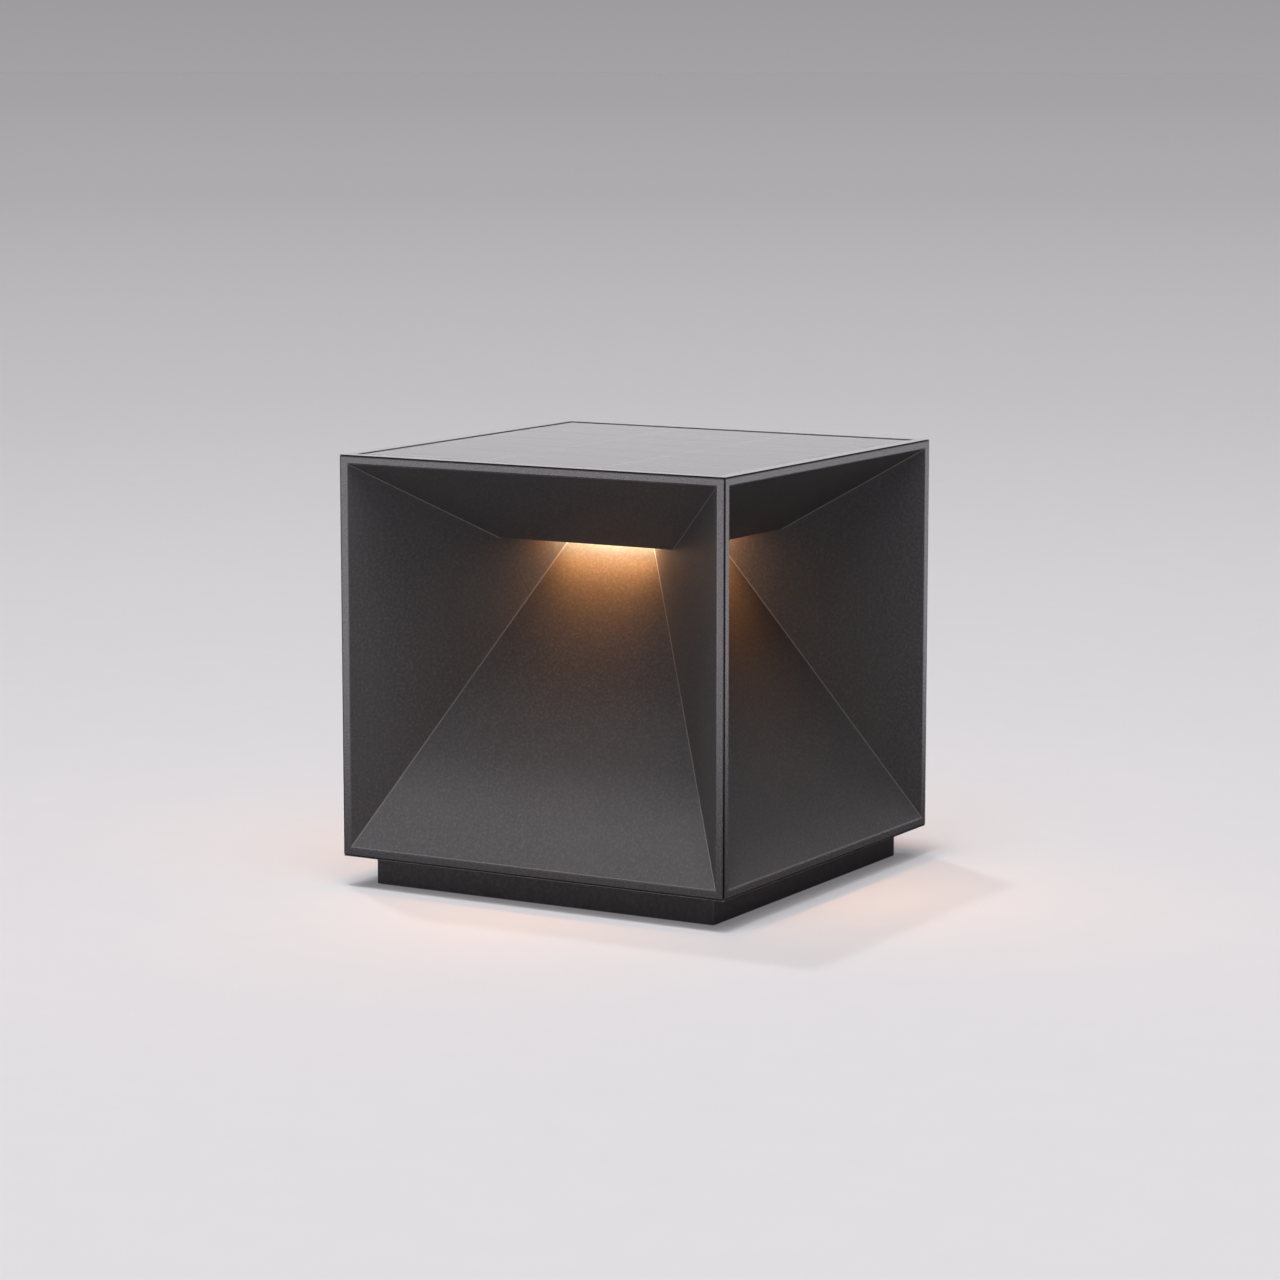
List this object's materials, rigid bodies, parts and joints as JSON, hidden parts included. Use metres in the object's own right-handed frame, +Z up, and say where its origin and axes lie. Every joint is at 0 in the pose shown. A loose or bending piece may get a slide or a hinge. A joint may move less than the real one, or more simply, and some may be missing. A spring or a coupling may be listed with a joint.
{
  "type": "led cube light",
  "caption": "Cube-shaped outdoor LED light: each side is a recess with a sloping hood that shines down on a pyramid; glass solar top, recessed plinth.",
  "frame": {"origin": "centre of the footprint on the plane the rubber feet stand on", "axes": "+Z up; -Y faces the front recess; the button and the charging port are in the plinth's +Y side; +X is to the right seen from the front"},
  "size_m": [0.2, 0.2, 0.2],
  "materials": {
    "casting": "fine-textured satin powder coat, anthracite",
    "frame_paint": "fine-textured satin powder coat, anthracite",
    "plinth_paint": "fine-textured matt powder coat, anthracite",
    "bare_aluminium": "milled",
    "pane": "polished, clear",
    "cells": "dark silicon under resin",
    "circuit": "solder-masked board",
    "foam": "closed-cell foam",
    "sealant": "cured bead",
    "white_board": "white solder mask",
    "led": "phosphor dome",
    "opal": "opal, lit from behind",
    "inner_plastic": "moulded",
    "cover_plastic": "moulded, fine texture",
    "foot_rubber": "matt",
    "cell_wrap": "shrink wrap",
    "socket_steel": "plated",
    "wire_sleeve": "braided sleeve",
    "button_plastic": "satin",
    "bezel_metal": "turned",
    "flap_rubber": "soft matt silicone",
    "steel": "zinc plated"
  },
  "bodies": {
    "lamp": {"side_panel_front": "casting", "side_panel_right": "casting", "side_panel_back": "casting", "side_panel_left": "casting", "top_frame": "frame_paint", "bottom_frame": "frame_paint", "plinth_frame": "plinth_paint", "tray_plate": "bare_aluminium", "solar_glass": "pane", "solar_cells": "cells", "panel_backing": "circuit", "panel_seal": "foam", "frame_gasket": "sealant", "led_board": "white_board", "led_chips": "led", "diffuser": "opal", "neck_sleeve": "inner_plastic", "base_cover": "cover_plastic", "base_gasket": "foam", "foot_pads": "foot_rubber", "battery_cells": "cell_wrap", "battery_holder": "inner_plastic", "control_board": "circuit", "tact_switch": "inner_plastic", "charge_port": "socket_steel", "wiring": "wire_sleeve", "button_bezel": "bezel_metal", "flap_pin": "steel", "hinge_lugs": "plinth_paint", "panel_screws": "steel", "plinth_screws": "steel", "cover_screws": "steel", "circuit_screws": "steel", "tray_screws": "steel"},
    "button": {"power_button": "button_plastic"},
    "flap": {"port_flap": "flap_rubber"}
  },
  "joints": [
    {"name": "power_button_press", "type": "slide", "parent": "lamp", "child": "button", "axis": [0, -1, 0], "range_m": [0, 0.0012], "stiffness_N_per_m": 1500, "springref_m": -0.0003},
    {"name": "port_flap_open", "type": "hinge", "parent": "lamp", "child": "flap", "pos_m": [0.0267, 0.0891, 0.0082], "axis": [0, 0, -1], "range_deg": [0, 100]}
  ]
}
